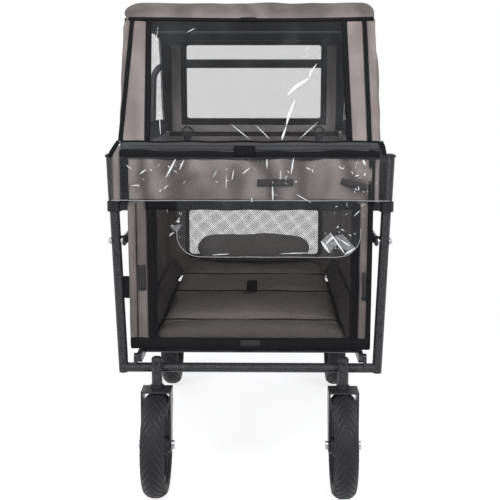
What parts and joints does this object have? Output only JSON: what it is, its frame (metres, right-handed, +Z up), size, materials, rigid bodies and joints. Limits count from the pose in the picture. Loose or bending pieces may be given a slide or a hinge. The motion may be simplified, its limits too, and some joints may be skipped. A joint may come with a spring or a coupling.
{
  "type": "pet wagon",
  "caption": "Folding pet wagon with a fabric tub, arched hood with a clear front window, mesh door, folding rail frame, swivelling front wheels and a push handle.",
  "frame": {"origin": "on the floor at the middle of the whole wagon's length and width", "axes": "+X to the viewer's right seen from the front, +Y from the front door towards the push handle, +Z up"},
  "size_m": [0.5773, 0.985, 1.006],
  "materials": {
    "tube": "hammered dark grey powder coat",
    "rubber": "matt",
    "rim": "moulded black",
    "steel": "zinc plated",
    "plastic": "moulded black",
    "cloth": "woven taupe",
    "net": "black net and webbing",
    "mattress": "padded dark weave",
    "clear": "clear film",
    "board": "hard board under cloth",
    "foam": "foam sleeve"
  },
  "bodies": {
    "front_frame": {"front_upright_left": "tube", "front_upright_right": "tube", "front_crossbar": "tube", "front_cap_left": "plastic", "front_cap_right": "plastic", "front_collar_left": "plastic", "front_collar_right": "plastic", "front_bolt_left": "steel", "front_bolt_right": "steel", "tub_front_panel": "cloth", "front_mesh": "net", "door_roll": "cloth", "rain_flap": "clear", "hood_shell": "cloth", "hood_window": "clear", "hood_bow_front": "steel", "tub_side_left": "cloth", "tub_side_right": "cloth", "mattress": "mattress", "pillow": "mattress", "pull_strap": "net"},
    "caster_left": {"caster_fork_left": "tube", "front_axle_left": "steel"},
    "caster_right": {"caster_fork_right": "tube", "front_axle_right": "steel"},
    "front_wheel_left": {"front_tyre_left": "rubber", "front_rim_left": "rim"},
    "front_wheel_right": {"front_tyre_right": "rubber", "front_rim_right": "rim"},
    "caster_lock_left": {"caster_button_left": "plastic"},
    "caster_lock_right": {"caster_button_right": "plastic"},
    "floor_front": {"floor_frame_front": "tube", "floor_board_front": "board"},
    "floor_rear": {"floor_frame_rear": "tube", "floor_board_rear": "board"},
    "upper_rails_front": {"upper_rail_front_left": "tube", "upper_rail_front_right": "tube"},
    "upper_rails_rear": {"upper_rail_rear_left": "tube", "upper_rail_rear_right": "tube"},
    "rear_frame": {"rear_upright_left": "tube", "rear_upright_right": "tube", "rear_crossbar": "tube", "rear_fork_left": "tube", "rear_fork_right": "tube", "rear_axle_left": "steel", "rear_axle_right": "steel", "rear_bolt_left": "steel", "rear_bolt_right": "steel", "handle_hub_left": "plastic", "handle_hub_right": "plastic", "tub_rear_panel": "cloth", "rear_mesh": "net", "hood_bow_rear": "steel"},
    "rear_wheel_left": {"rear_tyre_left": "rubber", "rear_rim_left": "rim"},
    "rear_wheel_right": {"rear_tyre_right": "rubber", "rear_rim_right": "rim"},
    "brake": {"brake_bar": "tube"},
    "handle": {"push_handle": "tube", "handle_grip": "foam"}
  },
  "joints": [
    {"name": "fold", "type": "hinge", "parent": "front_frame", "child": "floor_front", "pos_m": [0, -0.3395, 0.279], "axis": [1, 0, 0], "range_deg": [0, 68], "deforming": ["tub_side_left", "tub_side_right", "mattress", "pillow", "pull_strap", "hood_shell"]},
    {"name": "floor_middle", "type": "hinge", "parent": "floor_front", "child": "floor_rear", "pos_m": [0, 0.0205, 0.279], "axis": [1, 0, 0], "range_deg": [-136, 0]},
    {"name": "rear_frame_hinge", "type": "hinge", "parent": "floor_rear", "child": "rear_frame", "pos_m": [0, 0.3805, 0.279], "axis": [1, 0, 0], "range_deg": [0, 68]},
    {"name": "upper_front", "type": "hinge", "parent": "front_frame", "child": "upper_rails_front", "pos_m": [0, -0.3395, 0.522], "axis": [1, 0, 0], "range_deg": [0, 68]},
    {"name": "upper_middle", "type": "hinge", "parent": "upper_rails_front", "child": "upper_rails_rear", "pos_m": [0, 0.0205, 0.522], "axis": [1, 0, 0], "range_deg": [-136, 0]},
    {"name": "caster_swivel_left", "type": "hinge", "parent": "front_frame", "child": "caster_left", "pos_m": [-0.19, -0.36, 0.24], "axis": [0, 0, 1], "continuous": true},
    {"name": "caster_swivel_right", "type": "hinge", "parent": "front_frame", "child": "caster_right", "pos_m": [0.19, -0.36, 0.24], "axis": [0, 0, 1], "continuous": true},
    {"name": "front_wheel_spin_left", "type": "hinge", "parent": "caster_left", "child": "front_wheel_left", "pos_m": [-0.19, -0.385, 0.1075], "axis": [1, 0, 0], "continuous": true},
    {"name": "front_wheel_spin_right", "type": "hinge", "parent": "caster_right", "child": "front_wheel_right", "pos_m": [0.19, -0.385, 0.1075], "axis": [1, 0, 0], "continuous": true},
    {"name": "rear_wheel_spin_left", "type": "hinge", "parent": "rear_frame", "child": "rear_wheel_left", "pos_m": [-0.226, 0.3555, 0.1075], "axis": [1, 0, 0], "continuous": true},
    {"name": "rear_wheel_spin_right", "type": "hinge", "parent": "rear_frame", "child": "rear_wheel_right", "pos_m": [0.226, 0.3555, 0.1075], "axis": [1, 0, 0], "continuous": true},
    {"name": "caster_lock_press_left", "type": "slide", "parent": "front_frame", "child": "caster_lock_left", "axis": [0, 1, 0], "range_m": [0, 0.0025], "stiffness_N_per_m": 300, "springref_m": -0.002},
    {"name": "caster_lock_press_right", "type": "slide", "parent": "front_frame", "child": "caster_lock_right", "axis": [0, 1, 0], "range_m": [0, 0.0025], "stiffness_N_per_m": 300, "springref_m": -0.002},
    {"name": "brake_pedal", "type": "hinge", "parent": "rear_frame", "child": "brake", "pos_m": [0, 0.42252, 0.20502], "axis": [1, 0, 0], "range_deg": [0, 25]},
    {"name": "handle_tilt", "type": "hinge", "parent": "rear_frame", "child": "handle", "pos_m": [0, 0.414, 0.673], "axis": [-1, 0, 0], "range_deg": [0, 110]}
  ],
  "couplings": [
    {"joint": "floor_middle", "follows": "fold", "ratio": -2},
    {"joint": "rear_frame_hinge", "follows": "fold", "ratio": 1},
    {"joint": "upper_front", "follows": "fold", "ratio": 1},
    {"joint": "upper_middle", "follows": "fold", "ratio": -2}
  ]
}
